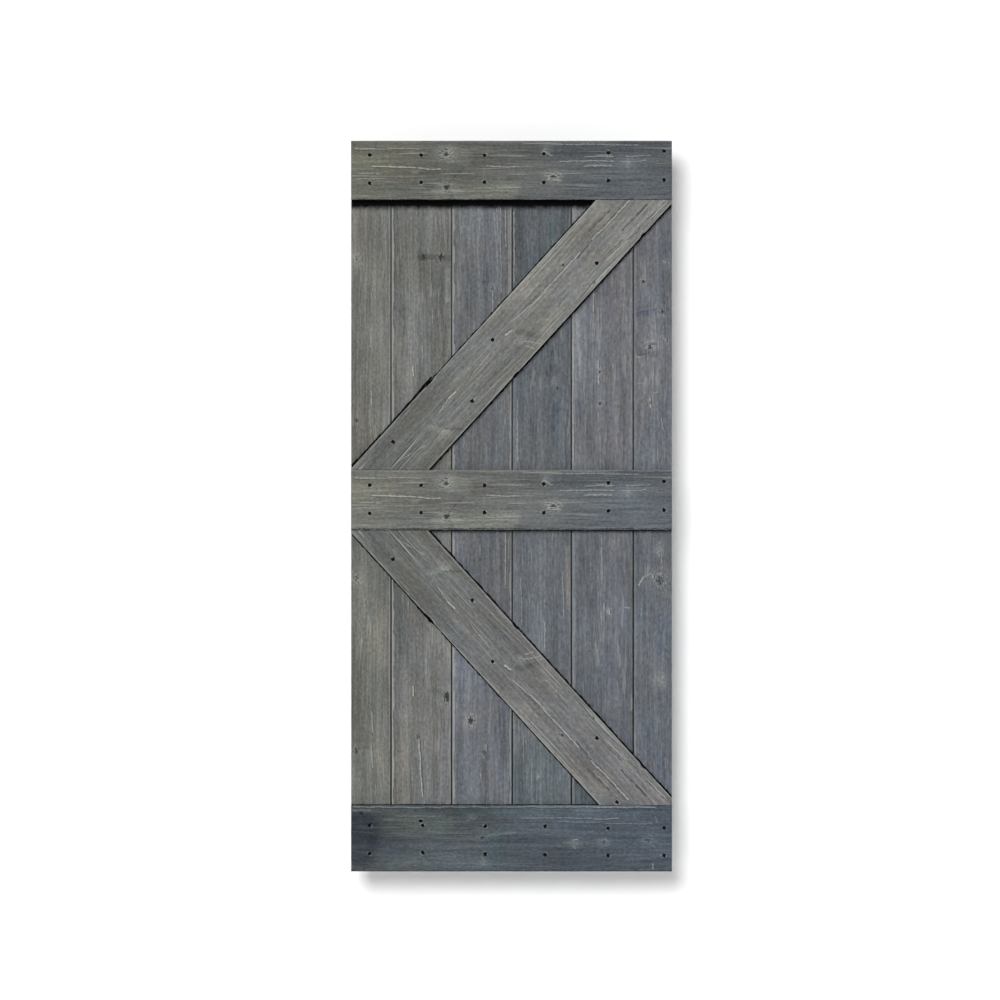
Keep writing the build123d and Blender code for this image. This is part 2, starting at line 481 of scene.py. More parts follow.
wires, given, result = new_group(
    "Arris",
    ("Place",),
    ("Crumble", "Low Edge", "High Edge", "Low Wear", "High Wear", "Low Seam", "High Seam"),
    ("Wear", "Dirt And Shade"),
)
_, depth, across = wires.split(given["Place"])
band = wires.ease(given["Crumble"], 0.36, 0.6, *BAND_WIDTHS)
inside_low = wires.less(across, given["Low Edge"])
inside_high = wires.less(given["High Edge"], across)
# Rubbed arrises: wear, and a painted highlight where the edge faces the lamp.
low_rub_and_highlight = wires.ease(wires.less(inside_low, band), *RUB_RIM)
high_rub_and_highlight = wires.ease(wires.less(inside_high, band), *RUB_RIM)
low_rub_and_highlight = wires.times(low_rub_and_highlight, given["Low Wear"])
high_rub_and_highlight = wires.times(high_rub_and_highlight, given["High Wear"])
near_face = wires.ease(depth, *FACE_RIM)
wires.feed(result["Wear"], wires.times(wires.larger(low_rub_and_highlight, high_rub_and_highlight), near_face))
# Seam bands: dirt and painted shade in the V, reaching further on the high side, which faces away from the
# lamp.
low_seam_dirt_and_shade = wires.times(wires.ease(inside_low, *LOW_SEAM_RIM), given["Low Seam"])
high_seam_dirt_and_shade = wires.times(wires.ease(inside_high, *HIGH_SEAM_RIM), given["High Seam"])
wires.feed(result["Dirt And Shade"], wires.larger(low_seam_dirt_and_shade, high_seam_dirt_and_shade))
print("group made: Arris")

# %% [markdown]
# The stains are a small palette of greys, warm at the door's left and bluer at
# its right and foot. Marks are placed by where they are seen in the picture, so
# a helper turns a picture place into a place on the door.

# %% Stains and places
def stain(red, green, blue):
    """A colour given in display values out of 255, as Blender's linear colour."""
    parts = [value / 255 for value in (red, green, blue)]
    linear = [p / 12.92 if p < 0.04045 else ((p + 0.055) / 1.055) ** 2.4 for p in parts]
    return (*linear, 1.0)


def door_point(picture_x, picture_y):
    """The point of the door that shows at a place in the picture."""
    right = picture_x - PICTURE_SIDE / 2 - DOOR_RIGHT_OF_CENTRE
    down = picture_y - PICTURE_SIDE / 2 - DOOR_BELOW_CENTRE
    return Vector((door_centre.x + right * metres_a_pixel, 0, door_centre.z - down * metres_a_pixel))


WARM_GREY = stain(110, 110, 105)
OLIVE_GREY = stain(99, 100, 93)
MID_OLIVE = stain(107, 108, 103)
DRIFTWOOD = stain(108, 109, 106)
PALE_DRIFTWOOD = stain(107, 108, 107)
DEEP_COOL_GREY = stain(92, 96, 102)
PALE_BLUE_GREY = stain(113, 115, 119)
MIST_GREY = stain(102, 104, 109)
BRACE_GREY = stain(97, 99, 96)
BRACE_PALE = stain(119, 120, 118)
BRACE_MIDDLE = stain(109, 110, 111)
PLAIN_GREY = stain(106, 108, 110)
COOL_GREY = stain(97, 100, 105)
BLUE_GREY = stain(90, 95, 100)
DEEP_BLUE_GREY = stain(85, 89, 93)
RAIN_GREY = stain(105, 109, 114)
BLUE_RAIL = stain(86, 90, 94)
SLATE = stain(76, 81, 83)
BLUE_SLATE = stain(74, 81, 90)
# Pale bare wood, for wear and splinters, and also for painted highlights on arrises that face the lamp.
BARE_PINE_AND_HIGHLIGHT = stain(176, 177, 170)
SILVER_PINE_AND_HIGHLIGHT = stain(150, 158, 158)
# Dark of cracks and knot cores, also used for painted shadow beside splinters and painted shade on rail
# edges; then the black of dirt and painted shade.
DARK_MARKS_AND_SHADE = stain(14, 15, 17)
DIRT_AND_SHADE_BLACK = stain(4, 4, 5)

Plank = namedtuple("Plank", "node origin along across seed stains seams wear marks")
Marks = namedtuple("Marks", "knots strokes tints")
RIGHT = Vector((1, 0, 0))
UP = Vector((0, 0, 1))
print("picture centre is", [round(v, 3) for v in door_point(500, 500)])

# %% [markdown]
# Three kinds of mark make each plank an individual. A knot has its place, its
# radius in millimetres, how far its torn wood spreads, and how dark its core and
# how pale that wood is.
# A stroke has two ends, a half width in millimetres and a strength: above zero it is a pale splinter,
# below zero a dark crack. A few strokes along the rails' edges are instead a painted highlight and painted
# shade, as noted beside them. A tint has two ends, a half width and the factors that it multiplies the
# colour by.

# %% Marks of the boards
BOARD_MARKS = {}
BOARD_MARKS["left_edge_board"] = Marks(
    [
        (356.5, 259, 4, 22, 0.7, 0.8), (356.4, 420.6, 5, 14, 1.0, 0.4), (356.5, 578, 4, 22, 0.7, 0.8),
        (356.5, 751.5, 5, 14, 1.0, 0.4),
    ],
    [
        (352, 254.5, 357.5, 262, 1.7, 0.6), (357.5, 262, 364, 264, 1.4, 0.4),
        (352.5, 580, 358, 584, 1.7, 0.6), (358, 584, 363, 580.5, 1.4, 0.4),
        (371.6, 391, 371, 404, 1.8, 0.6), (370.4, 417, 370.8, 436, 1.2, 0.5),
        (373, 415, 373.2, 434, 1.0, 0.4), (370.6, 333, 370.9, 346, 1.6, 0.5),
        (371, 293, 371.3, 299, 1.6, 0.5), (371.6, 712, 372.4, 732, 1.8, 0.6),
        (371, 746, 372.6, 767, 2.0, 0.5), (375.6, 785, 375.8, 796, 1.4, 0.4),
    ],
    [
        (389, 206, 389, 465, 6, (0.86, 0.88, 0.94)), (388.5, 560, 388.5, 803, 6, (0.88, 0.90, 0.97)),
        (366, 380, 366, 440, 18, (1.05, 1.0, 0.98)),
    ],
)
BOARD_MARKS["second_board"] = Marks(
    [
        (423, 256.5, 8, 14, 0.7, 0.1), (441, 257, 8, 22, 0.9, 0.5), (447, 697, 12, 24, 1.0, 0.7),
        (418, 737, 6, 12, 0.6, 0.1),
    ],
    [
        (412.6, 366, 413.6, 376, 2.0, 1.0), (422, 342, 422.6, 358, 1.4, 0.5),
        (432.5, 309, 432.6, 323, 1.4, 0.5), (422.6, 292, 423, 299, 1.8, 0.5),
        (412.6, 686, 413.4, 696, 1.9, 0.9), (432.5, 628, 432.6, 642, 1.4, 0.5),
        (418.7, 740, 419.8, 755, 1.8, 0.8), (419.8, 755, 421, 774, 1.8, 0.8),
        (421, 774, 422.8, 797, 1.9, 0.8), (412, 765, 412.6, 788, 1.5, 0.4),
        (425, 741, 425.4, 762, 1.1, 0.4),
    ],
    [
        (420, 256.5, 449, 257.6, 10, (0.66, 0.69, 0.69)), (447.4, 270, 447.6, 300, 8, (1.46, 1.46, 1.43)),
        (436, 692, 449, 697, 13, (0.76, 0.81, 0.81)), (447, 300, 447.4, 352, 5, (1.12, 1.13, 1.16)),
        (401.5, 310, 403, 334, 12, (0.86, 0.88, 0.86)), (401.5, 630, 403, 652, 12, (0.88, 0.90, 0.89)),
        (403, 752, 403, 802, 34, (1.13, 1.07, 1.00)), (443, 742, 444, 802, 18, (1.02, 1.02, 1.06)),
    ],
)
BOARD_MARKS["third_board"] = Marks(
    [
        (484, 281.5, 5, 12, 0.7, 0.2), (492.5, 288, 5, 12, 0.5, 0.6), (470.5, 721, 8, 18, 1.0, 1.1),
        (484, 753.6, 6, 16, 0.6, 0.4),
    ],
    [
        (497, 208, 497.3, 262, 1.3, 0.4), (500.6, 206, 501, 292, 1.3, 0.45),
        (508.8, 210, 509, 300, 1.5, 0.5), (492.5, 291, 492.7, 312, 1.7, 0.5),
        (467.4, 262, 467.6, 326, 1.0, -0.5), (505.4, 210, 505.8, 246, 1.5, 0.6),
        (495, 212, 495.2, 236, 1.1, 0.4), (505.2, 533, 505.6, 585, 1.5, 0.6),
        (508.4, 536, 508.5, 560, 1.1, 0.5), (486, 745, 486.2, 751, 1.8, 0.6),
        (480.4, 773, 480.7, 780, 1.6, 0.5),
    ],
    [
        (458, 316, 457, 350, 11, (0.78, 0.81, 0.86)), (486, 274, 488, 290, 18, (0.90, 0.92, 0.96)),
        (472, 716, 474, 736, 16, (0.90, 0.90, 0.93)), (486, 752, 487, 758, 9, (0.80, 0.82, 0.90)),
        (461.6, 303, 461.6, 311, 7, (1.12, 1.18, 1.15)), (489, 215, 490, 290, 16, (0.93, 0.94, 1.0)),
        (462, 640, 460, 700, 14, (0.88, 0.90, 0.97)),
    ],
)
BOARD_MARKS["fourth_board"] = Marks(
    [
        (547, 216, 3, 16, 0.3, 0.2), (532.6, 239, 5, 10, 0.5, 0.2), (551, 245, 4, 16, 0.4, 0.2),
        (554.5, 381, 4, 12, 0.3, 0.7), (556.8, 388, 4, 8, 0.9, 0.1), (554, 428, 6, 14, 0.5, 0.1),
        (538, 777.5, 2, 6, 0.0, 0.9),
    ],
    [
        (513.9, 212, 514, 282, 1.8, 0.6), (552, 349, 552, 355, 1.8, -0.7),
        (550.7, 363, 550.6, 370, 1.8, -0.7), (547.4, 371, 547, 376, 1.8, -0.6),
        (517.6, 400, 517.6, 462, 2.2, 0.4), (544.7, 600, 544.9, 607, 1.6, 0.5),
        (544.8, 622, 544.4, 650, 1.8, 0.6), (521, 577, 521.6, 625, 1.6, 0.4),
        (563, 572, 564, 616, 1.8, 0.4), (532, 760, 532, 800, 1.4, 0.3),
    ],
    [
        (552, 222, 551, 250, 16, (0.86, 0.98, 0.94)), (568, 548, 568.4, 604, 8, (1.38, 1.28, 1.14)),
        (550, 345, 553, 378, 12, (0.82, 0.86, 0.90)), (556, 405, 555, 440, 12, (0.82, 0.86, 0.90)),
        (534, 390, 536, 462, 16, (0.95, 0.94, 0.96)), (516.5, 540, 516.5, 640, 5, (1.10, 1.11, 1.12)),
        (540, 390, 540, 470, 40, (1.11, 1.10, 1.09)), (535, 768, 545, 800, 96, (0.71, 0.77, 0.76)),
    ],
)
BOARD_MARKS["fifth_board"] = Marks(
    [
        (594.6, 325, 3, 10, 0.3, 0.5), (599.4, 371.8, 4, 8, 1.0, 0.4), (600, 403.8, 4, 10, 0.9, 0.4),
        (609, 611, 2, 12, 0.0, 0.9),
    ],
    [
        (573, 345, 573.2, 462, 1.8, 0.6), (593.4, 291, 593.8, 312, 1.8, 0.6),
        (594, 313, 594.6, 340, 1.4, 0.3), (598.2, 361, 598.5, 368, 2.0, 0.9),
        (598.4, 377, 598.6, 384, 2.0, 0.9), (613, 364, 613, 368, 1.6, 0.5),
        (616, 298, 616.2, 306, 1.4, 0.4), (602, 535, 602.4, 580, 1.8, 0.4),
        (604.2, 603, 604.6, 609, 1.7, 0.6), (609.3, 609, 609.4, 614, 1.8, 0.9),
        (624, 607.5, 630, 608, 1.5, 0.6), (601.8, 612, 602, 626, 1.6, 0.4),
    ],
    [
        (617, 275, 617, 462, 34, (0.97, 0.93, 0.92)), (598, 296, 599, 460, 10, (1.16, 1.16, 1.16)),
        (579, 320, 580, 460, 16, (1.05, 1.06, 1.06)), (615, 560, 615, 690, 30, (0.94, 0.94, 0.99)),
        (578, 792, 590, 803, 60, (0.72, 0.79, 0.77)),
    ],
)
BOARD_MARKS["right_edge_board"] = Marks(
    [
        (643.4, 281.3, 5, 12, 1.0, 0.8), (667, 263.5, 4, 12, 0.7, 0.6), (663, 311, 5, 14, 1.0, 0.6),
        (650, 347, 6, 26, 0.9, 0.6), (668, 340, 4, 10, 0.7, 0.5), (650.6, 402.6, 5, 14, 0.7, 0.6),
        (659, 549.5, 2, 16, 0.1, 1.0), (660, 581, 11, 30, 0.7, 0.8), (660, 680, 3, 20, 0.2, 0.9),
    ],
    [
        (663.5, 260.5, 668, 264.5, 1.6, 0.6), (658, 309, 664, 311.5, 1.6, 0.55),
        (664, 338, 668.5, 341.5, 1.6, 0.6), (637, 356.5, 641, 357.5, 2.4, 0.5),
        (636, 384, 646, 382.5, 1.6, 0.3), (653, 393.5, 659, 391.5, 1.7, 0.4),
        (662, 419, 663.5, 430, 1.5, 0.45), (657.5, 445, 658.5, 462, 1.5, 0.35),
        (640, 279, 646, 280.5, 1.5, 0.5), (644.4, 343, 654.2, 339.8, 1.8, 0.5),
        (644.4, 348.5, 654.2, 345.2, 1.8, 0.6), (638, 355, 653, 352.8, 2.0, -0.5),
        (637, 312.6, 659.6, 308.4, 1.8, -0.4), (645.4, 268, 645.6, 276, 1.8, 0.5),
        (649.6, 398, 650.8, 407, 2.1, 1.0), (639, 585, 643.6, 577.6, 2.2, 0.75),
        (643.6, 577.6, 651, 573.6, 1.7, 0.55), (652.6, 575, 653.6, 578, 2.0, 0.8),
        (661.6, 558, 662.4, 569, 1.5, 0.6),
    ],
    [
        (646, 292, 646, 302, 12, (1.08, 1.08, 1.09)), (643, 262, 644, 284, 9, (1.13, 1.13, 1.12)),
        (641, 360, 647, 366, 10, (1.16, 1.16, 1.14)), (644, 392, 660, 397, 12, (1.08, 1.08, 1.08)),
        (638, 314, 667, 309, 9, (0.82, 0.85, 0.93)), (640, 351, 655, 354, 13, (0.70, 0.74, 0.81)),
        (648, 326, 650, 336, 20, (1.07, 1.07, 1.08)), (640, 218, 644, 250, 14, (0.90, 0.91, 0.96)),
        (638, 700, 664, 780, 22, (0.93, 0.95, 0.98)), (646, 362, 646, 384, 16, (1.10, 1.10, 1.10)),
        (660, 581, 663, 584, 28, (0.84, 0.87, 0.89)), (662, 620, 662, 650, 22, (0.88, 0.91, 0.94)),
    ],
)
print(sum(len(m.strokes) for m in BOARD_MARKS.values()), "strokes on the boards")

# %% [markdown]
# The middle rail looks cut from the same pattern as the top rail, and the lower
# brace is the upper one's mirror image. So their marks are written once, on the
# top rail and the upper brace, and each twin repeats them in its own plank
# space. The bottom rail has marks of its own, such as an inky left end.

# %% Marks of the rails and braces
TWIN_RAIL_MARKS = Marks(
    [
        (446, 154, 6, 26, 1.0, 1.0), (446.5, 187, 7, 22, 1.0, 0.9), (553.6, 176.4, 5, 20, 1.0, 1.2),
        (501, 178.6, 3, 10, 0.5, 0.6), (415.5, 172, 1, 6, 0.0, 1.0), (628.2, 163.8, 2, 10, 0.2, 0.7),
        (546, 150, 2, 12, 0.0, 0.6),
    ],
    [
        (372.6, 166.2, 405, 167.4, 1.9, 0.9), (405, 167.4, 440, 169.2, 1.7, 0.8),
        (355.8, 148.6, 374.3, 149.1, 1.7, 0.7), (388, 148, 419.8, 149.1, 1.3, 0.5),
        (358, 173.2, 378.6, 173.6, 1.5, 0.5), (355.8, 178.9, 383, 178.9, 1.3, 0.5),
        (487, 166.2, 518, 167, 1.7, 0.6), (475, 188, 512, 188.1, 1.4, 0.5),
        (448.6, 184, 444.8, 192, 1.5, -0.7), (449, 184, 455, 176, 1.3, -0.7),
        (455, 176, 464, 168, 1.2, -0.5), (553, 144.2, 638, 144.8, 1.4, 0.5),
        (585, 156.7, 614, 156.2, 1.7, 0.6), (626, 156.1, 651, 155.6, 1.4, 0.5),
        (559.9, 161, 614, 161.2, 1.6, 0.7), (618.4, 162, 645.5, 160.6, 1.3, 0.5),
        (585, 165.8, 611, 165.4, 2.4, 0.5), (546, 179.6, 561, 181, 1.8, 0.6),
        # The two full-length dark strokes at the foot are painted shade along the rail's lower edge, on
        # the top and middle rails alike.
        (543.8, 150.4, 552, 156, 1.8, 0.6), (351, 199.8, 673, 199.8, 1.9, -0.95),
        (351, 201.1, 673, 201.1, 2.2, -0.95),
    ],
    [
        (450, 155, 466, 158, 24, (1.36, 1.36, 1.32)), (440, 180, 452, 196, 9, (0.80, 0.84, 0.86)),
        (440, 191, 512, 190, 28, (1.34, 1.36, 1.26)), (560, 150, 640, 150, 22, (1.06, 1.06, 1.08)),
        (575, 186, 620, 186, 24, (0.93, 0.94, 0.97)), (356, 162, 384, 162, 40, (1.04, 1.03, 0.95)),
        (425, 152, 436, 152, 20, (0.92, 0.94, 0.96)), (655, 180, 668, 180, 34, (0.93, 0.94, 0.97)),
    ],
)
BOTTOM_RAIL_MARKS = Marks(
    [
        (361.5, 813.4, 5, 6, 1.0, 0.1), (482, 838, 6, 20, 0.8, 0.5), (471, 818, 2, 12, 0.0, 0.6),
        (574, 842, 2, 15, 0.1, 0.8), (604, 842, 4, 15, 0.7, 0.7), (648, 840, 5, 17, 0.8, 0.6),
        (482.7, 862, 3, 12, 0.3, 0.8), (661.8, 855, 1, 5, 0.0, 1.0),
    ],
    [
        # The first five strokes are the pale top arris, worn and lightened as a painted highlight; the
        # full-length dark one is painted shade along the lower edge.
        (353.5, 807.0, 420, 807.2, 1.9, 0.6), (420, 807.2, 515, 806.8, 1.9, 0.45),
        (515, 806.8, 598, 807, 1.9, 0.6), (598, 807, 655, 807.2, 1.9, 0.75),
        (353.5, 810.6, 370, 810.8, 3.0, 0.3), (351, 870.4, 673, 870.4, 1.2, -0.8),
        (573.5, 845, 575.5, 849, 2.2, 0.5), (604.5, 839, 609, 841.5, 2.0, 0.5),
        (606, 845.5, 610, 844, 1.8, 0.4), (655, 816.5, 657.5, 823, 1.8, 0.3),
        (648, 833, 652, 836, 1.8, 0.4), (650, 843, 654, 847, 1.8, 0.4), (481, 856, 484.5, 860, 1.7, 0.3),
        (522, 818, 592, 818, 1.4, 0.5), (594.6, 818.7, 618, 818.8, 1.6, 0.6),
        (558, 822, 600, 822.2, 1.6, 0.35), (606, 823.2, 652, 824, 1.6, 0.4),
        (486, 835.6, 516, 832.6, 4.0, 0.22), (396, 816, 440, 816.4, 1.4, 0.3),
        (404, 835, 430, 835.4, 1.5, -0.4), (652.8, 864, 653, 869, 1.8, 0.8),
        (573, 840, 577, 839.4, 1.8, 0.8),
    ],
    [
        (360, 826, 360, 850, 58, (0.60, 0.63, 0.70)), (378, 842, 398, 848, 30, (0.82, 0.84, 0.90)),
        (462, 811, 545, 812, 16, (1.00, 1.14, 1.10)), (500, 830, 492, 866, 26, (0.92, 1.05, 1.02)),
        (396, 820, 446, 824, 30, (1.14, 1.18, 1.08)), (580, 812, 640, 812, 16, (1.02, 1.08, 1.12)),
        (477, 834, 484, 842, 14, (0.88, 0.91, 0.92)), (606, 836, 608, 848, 12, (0.90, 0.93, 0.94)),
        (646, 832, 650, 846, 14, (0.90, 0.93, 0.94)),
    ],
)
BRACE_MARKS = Marks(
    [
        (562.8, 265.4, 5, 14, 0.9, 0.4), (594.2, 282.2, 4, 8, 0.8, 0.6), (434.5, 426, 2, 14, 0.1, 0.8),
        (446, 432.4, 2, 18, 0.1, 0.7), (522, 341, 2, 10, 0.1, 0.9), (543, 343, 2, 14, 0.2, 0.7),
    ],
    [
        (629.4, 201, 606.5, 225, 2.2, 0.8), (606.5, 225, 592.4, 239.2, 2.2, 0.7),
        (588, 246, 577, 258, 2.0, -0.9), (648, 204, 622, 230, 2.0, -0.9), (655, 212, 628, 240, 1.8, -0.9),
        (622, 240, 600, 262, 1.7, -0.7), (610, 210, 588, 232, 1.7, -0.7), (540, 292, 520, 313, 1.6, -0.6),
        (500, 350, 478, 377, 1.5, -0.4), (470, 350, 448, 376, 1.5, -0.4), (618, 204, 594.6, 229, 1.4, 0.5),
        (666, 203, 634.7, 232.6, 1.9, 0.6), (634.7, 232.6, 605.4, 260.8, 1.7, 0.5),
        (670, 205, 640, 233.7, 1.3, 0.5), (579.4, 253.2, 564.2, 269.4, 2.2, 0.8),
        (564.2, 269.4, 531.7, 305, 1.9, 0.8), (548, 290, 513.5, 320, 1.6, 0.6),
        (566.8, 299, 547, 320, 1.5, 0.5), (511.4, 330.6, 505.8, 335, 2.4, 0.9),
        (489.6, 353, 471.4, 376.3, 1.6, 0.5), (455.4, 391.8, 449, 398.2, 2.2, 0.9),
        (449, 398.2, 438.5, 413, 1.5, 0.6), (425, 445.5, 397, 462, 1.6, 0.4),
        (524, 341, 540, 343.4, 1.8, 0.6), (526, 346, 534, 348.4, 1.8, 0.6),
        (442.7, 428.4, 463, 429, 2.0, -0.5),
    ],
    [
        (503, 336, 520, 332, 7, (0.84, 0.88, 0.88)), (520, 332, 545, 338, 9, (0.80, 0.84, 0.84)),
        (428, 422, 464, 431, 9, (0.84, 0.88, 0.86)), (432, 428, 450, 433, 9, (1.18, 1.18, 1.14)),
        (600, 212, 528, 288, 34, (1.20, 1.17, 1.12)), (640, 212, 612, 240, 26, (1.02, 1.02, 1.06)),
        (596, 274, 600, 268, 16, (0.86, 0.92, 0.92)), (560, 310, 545, 325, 20, (1.04, 1.04, 0.98)),
        (462, 418, 458, 424, 12, (1.10, 1.05, 1.04)),
    ],
)
print(len(TWIN_RAIL_MARKS.strokes), "strokes on each twin rail")

# %% [markdown]
# Each plank is described once: where its grain starts, which way it runs, its stain at both ends, how much
# dirt and painted shade its seams get, how much its edges are worn and lightened as a painted highlight,
# and its marks. The braces slant, so their direction is read from the solid: the long outer edge runs from
# the corner at the door's left side to the corner on the far rail.

# %% Planks
# The last column is how much each board's left and right arris is worn and lightened as a painted
# highlight.
BOARDS = (
    ("left_edge_board", (MID_OLIVE, WARM_GREY), (0.0, 0.15)),
    ("second_board", (PALE_DRIFTWOOD, DRIFTWOOD), (0.45, 0.12)),
    ("third_board", (COOL_GREY, PLAIN_GREY), (0.4, 0.3)),
    ("fourth_board", (RAIN_GREY, DEEP_BLUE_GREY), (0.06, 0.1)),
    ("fifth_board", (DEEP_COOL_GREY, PALE_BLUE_GREY), (0.2, 0.06)),
    ("right_edge_board", (DEEP_COOL_GREY, MIST_GREY), (0.14, 0.0)),
)
TWIN_SEED, FOOT_SEED, BRACE_SEED = 11, 12, 13
BRACE_WEAR_AND_HIGHLIGHT = (0.2, 0.25)
NO_SEAMS = (0.0, 0.0)
TOUCH = 1e-4


def place_marks(marks, origin, along, across):
    """Marks from picture places to plank space, in metres."""

    def flat(x, y):
        offset = door_point(x, y) - Vector((origin.x, 0, origin.z))
        return (offset.dot(along), 0.0, offset.dot(across))

    return Marks(
        [
            (flat(x, y), radius * MM, spread * MM, dark, pale)
            for x, y, radius, spread, dark, pale in marks.knots
        ],
        [(flat(a, b), flat(c, d), half * MM, power) for a, b, c, d, half, power in marks.strokes],
        [(flat(a, b), flat(c, d), half * MM, tint) for a, b, c, d, half, tint in marks.tints],
    )


planks = []
for number, (name, stains, wear) in enumerate(BOARDS):
    low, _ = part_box(name)
    seams = (float(number > 0), float(number < len(BOARDS) - 1))
    marks = place_marks(BOARD_MARKS[name], low, UP, RIGHT)
    planks.append(Plank(name, low, UP, RIGHT, number + 1, stains, seams, wear, marks))


def upper_left(name):
    """The front upper left corner of a rail."""
    low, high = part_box(name)
    return Vector((low.x, low.y, high.z))


twin_marks = place_marks(TWIN_RAIL_MARKS, upper_left("top_rail"), RIGHT, -UP)
foot_marks = place_marks(BOTTOM_RAIL_MARKS, upper_left("bottom_rail"), RIGHT, -UP)
# The rails' wear column lightens only their top arrises, by wear and a painted highlight.
for name, seed, stains, wear, marks in (
    ("top_rail", TWIN_SEED, (OLIVE_GREY, BLUE_RAIL), (0.08, 0.0), twin_marks),
    ("middle_rail", TWIN_SEED, (MID_OLIVE, BLUE_GREY), (0.12, 0.0), twin_marks),
    ("bottom_rail", FOOT_SEED, (SLATE, BLUE_SLATE), (0.0, 0.0), foot_marks),
):
    origin = upper_left(name)
    planks.append(Plank(name, origin, RIGHT, -UP, seed, stains, NO_SEAMS, wear, marks))


def brace_lines(name, upward):
    """A brace's direction, its outward direction, and the ends of its two long edges."""
    low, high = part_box(name)
    corners = [Vector((v.co.x, 0, v.co.z)) for v in nodes[name].data.vertices]
    far_height = high.z if upward > 0 else low.z
    near_height = low.z if upward > 0 else high.z
    at_left = [c for c in corners if c.x < low.x + TOUCH]
    at_right = [c for c in corners if c.x > high.x - TOUCH]
    at_far_rail = [c for c in corners if abs(c.z - far_height) < TOUCH]
    at_near_rail = [c for c in corners if abs(c.z - near_height) < TOUCH]
    outer_start = max(at_left, key=lambda c: upward * c.z)
    outer_end = min(at_far_rail, key=lambda c: c.x)
    inner_start = max(at_near_rail, key=lambda c: c.x)
    inner_end = min(at_right, key=lambda c: upward * c.z)
    along = (outer_end - outer_start).normalized()
    outward = Vector((-along.z * upward, 0, along.x * upward))
    return along, outward, (outer_start, outer_end), (inner_start, inner_end)


brace_edges = {}
brace_marks = None
for name, upward, far_stain in (("upper_brace", 1, BRACE_PALE), ("lower_brace", -1, BRACE_MIDDLE)):
    along, outward, outer, inner = brace_lines(name, upward)
    width = (outer[0] - inner[0]).dot(outward)
    near_height = inner[0].z
    middle = outer[0] - outward * width / 2
    start = middle + along * (near_height - middle.z) / along.z
    origin = Vector((start.x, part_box(name)[0].y, start.z))
    if brace_marks is None:
        brace_marks = place_marks(BRACE_MARKS, origin, along, outward)
    brace_edges[name] = (outer, inner)
    stains = (BRACE_GREY, far_stain)
    planks.append(
        Plank(name, origin, along, outward, BRACE_SEED, stains, NO_SEAMS, BRACE_WEAR_AND_HIGHLIGHT, brace_marks)
    )
    slope = math.degrees(math.atan2(along.z, along.x))
    print(f"{name}: slope {slope:.1f} degrees, {width * 1000:.0f} mm wide")

# %% [markdown]
# Painted shade darkens the boards in the corner beside every rail and brace, where the battens would shade
# them. Under the top rail it is a broad black band of painted shadow, and near the middle rail it widens
# beside the braces. One group holds all these lines for the six boards, each drawn with the stroke group
# between two points of the door.

# %% Painted batten shade group
# The band under the top rail is a painted shadow; the other lines are narrower painted shade in the
# corners beside rails and braces.
TOP_RAIL_SHADOW_BAND = 29 * MM
SHADE_DEPTH = 8 * MM
BAND_RAGGEDNESS = 0.5
LINE_RAGGEDNESS = 1.6
SHADE_LINE_CELLS = (60.0, 60.0, 60.0)
WIDER_SHADE = (
    (352.4, 465.6, 384, 432, 4.8),
    (384, 432, 428, 381, 3.8),
    (426, 384, 431, 377.5, 4.0),
    (352.4, 532.4, 374, 556, 7.5),
    (374, 556, 430, 620, 5),
    (425, 614, 431, 621, 5.8),
)

painted_shade_lines = []
for name, above, below in (
    ("top_rail", 0.0, TOP_RAIL_SHADOW_BAND),
    ("middle_rail", 0.0, 3.2 * MM),
    ("bottom_rail", 2.4 * MM, 0.0),
):
    low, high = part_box(name)
    for height, reach in ((high.z, above), (low.z, below)):
        if reach:
            painted_shade_lines.append((Vector((low.x, 0, height)), Vector((high.x, 0, height)), reach))
for (outer, inner), reaches in zip(brace_edges.values(), ((4.6, 5.6), (4.6, 5.8))):
    for (start, end), reach in zip((outer, inner), reaches):
        painted_shade_lines.append((start, end, reach * MM))
for from_x, from_y, to_x, to_y, reach in WIDER_SHADE:
    painted_shade_lines.append((door_point(from_x, from_y), door_point(to_x, to_y), reach * MM))

wires, given, result = new_group("Painted Batten Shade", (), ("Amount",), ("Dirt And Shade",))
place = wires.node("ShaderNodeTexCoord").outputs["Object"]
x, y, z = wires.split(place)
flat_place = wires.join(x, 0.0, z)
uneven = wires.noise(place, SHADE_LINE_CELLS, detail=2.0)
most = 0.0
# Each line is painted shade on the boards beside a rail or brace.
for start, end, reach in painted_shade_lines:
    ragged = BAND_RAGGEDNESS if reach == TOP_RAIL_SHADOW_BAND else LINE_RAGGEDNESS
    line = stroke(wires, flat_place, start, end, reach, uneven, ragged)
    most = wires.larger(most, line["Mask"])
board_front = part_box(BOARDS[0][0])[0].y
near_front = wires.ease(wires.less(y, board_front), SHADE_DEPTH, SHADE_DEPTH / 2)
most = wires.times(wires.times(most, near_front), given["Amount"])
wires.feed(result["Dirt And Shade"], most)
print(len(painted_shade_lines), "lines of painted shade")

# %% [markdown]
# The screws' seats are holes in the rails and braces. Each seat ends in a point at a known depth, so the
# places of all screws can be read from the solids, and nothing is written twice. The wood round a screw is
# bruised, and its seat gets dirt and painted shade, so the finish needs the same places.

# %% Screw places
SEAT_DEPTH = 5.2 * MM


def screw_places(name):
    """Where the screws of a rail or brace stand, on its front face."""
    low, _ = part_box(name)
    found = {}
    for vertex in nodes[name].data.vertices:
        if abs(vertex.co.y - low.y - SEAT_DEPTH) < 0.05 * MM:
            key = (round(vertex.co.x, 3), round(vertex.co.z, 3))
            found[key] = Vector((vertex.co.x, low.y, vertex.co.z))
    return [found[key] for key in sorted(found)]


screws = {p.node: screw_places(p.node) for p in planks if not p.node.endswith("board")}
for name, places in screws.items():
    print(f"{name}: {len(places)} screws")

